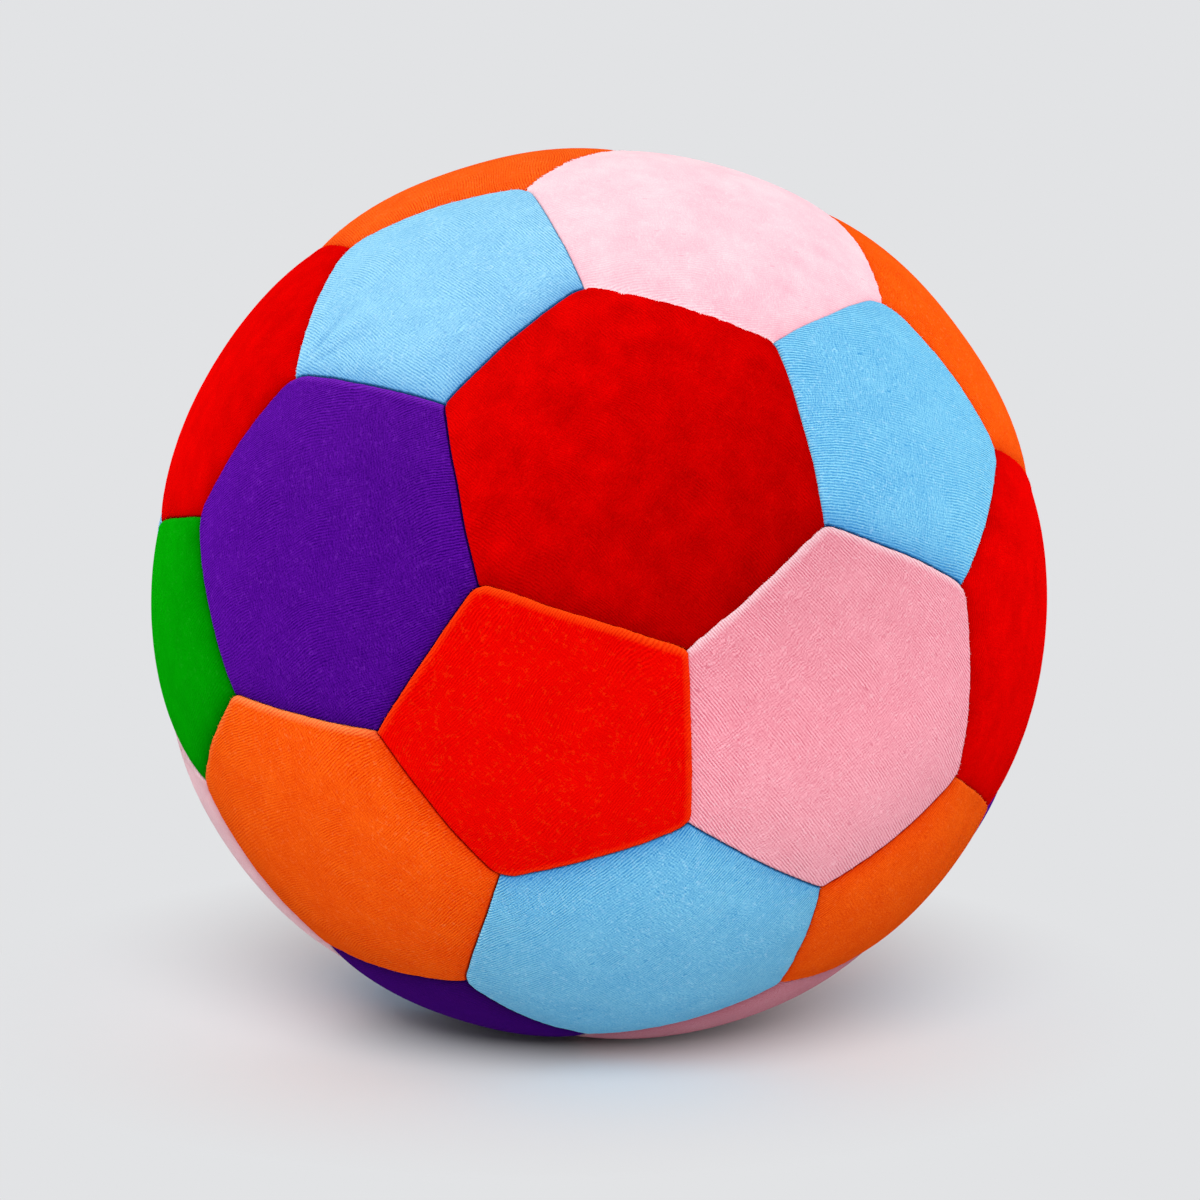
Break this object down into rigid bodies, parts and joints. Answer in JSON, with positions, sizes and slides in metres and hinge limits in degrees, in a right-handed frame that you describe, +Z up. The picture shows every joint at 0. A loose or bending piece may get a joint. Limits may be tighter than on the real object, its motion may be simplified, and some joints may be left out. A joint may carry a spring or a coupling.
{
  "type": "soft fabric ball",
  "caption": "Soft stuffed toy ball sewn from brightly coloured hexagon and pentagon fabric patches, resting on its pressed underside.",
  "frame": {"origin": "middle of the flat that the ball rests on, under the ball's middle", "axes": "+Z up, +X to the right and +Y away as the ball is seen from the front, where the first red hexagon faces the viewer and a little upwards"},
  "size_m": [0.1992, 0.1996, 0.1966],
  "materials": {
    "red_velour": "short-pile velour, matt",
    "pink_velour": "short-pile velour, matt",
    "light_blue_velour": "short-pile velour, matt",
    "orange_velour": "short-pile velour, matt",
    "orange_red_velour": "short-pile velour, matt",
    "purple_velour": "short-pile velour, matt",
    "green_velour": "short-pile velour, matt",
    "sewing_thread": "polyester thread",
    "fibrefill": "loose polyester fibre"
  },
  "bodies": {
    "root": {"hexagon_red_1": "red_velour", "hexagon_red_2": "red_velour", "hexagon_red_3": "red_velour", "hexagon_red_4": "red_velour", "pentagon_red_1": "red_velour", "pentagon_red_2": "red_velour", "hexagon_pink_1": "pink_velour", "hexagon_pink_2": "pink_velour", "hexagon_pink_3": "pink_velour", "hexagon_pink_4": "pink_velour", "hexagon_pink_5": "pink_velour", "hexagon_pink_6": "pink_velour", "hexagon_light_blue_1": "light_blue_velour", "hexagon_light_blue_2": "light_blue_velour", "hexagon_light_blue_3": "light_blue_velour", "pentagon_light_blue_1": "light_blue_velour", "pentagon_light_blue_2": "light_blue_velour", "pentagon_light_blue_3": "light_blue_velour", "hexagon_orange_1": "orange_velour", "hexagon_orange_2": "orange_velour", "hexagon_orange_3": "orange_velour", "hexagon_orange_4": "orange_velour", "pentagon_orange_1": "orange_velour", "pentagon_orange_2": "orange_velour", "pentagon_orange_red_1": "orange_red_velour", "hexagon_purple_1": "purple_velour", "hexagon_purple_2": "purple_velour", "hexagon_purple_3": "purple_velour", "pentagon_purple_1": "purple_velour", "pentagon_green_1": "green_velour", "pentagon_green_2": "green_velour", "pentagon_green_3": "green_velour", "seam_thread": "sewing_thread", "stuffing": "fibrefill"}
  },
  "joints": []
}
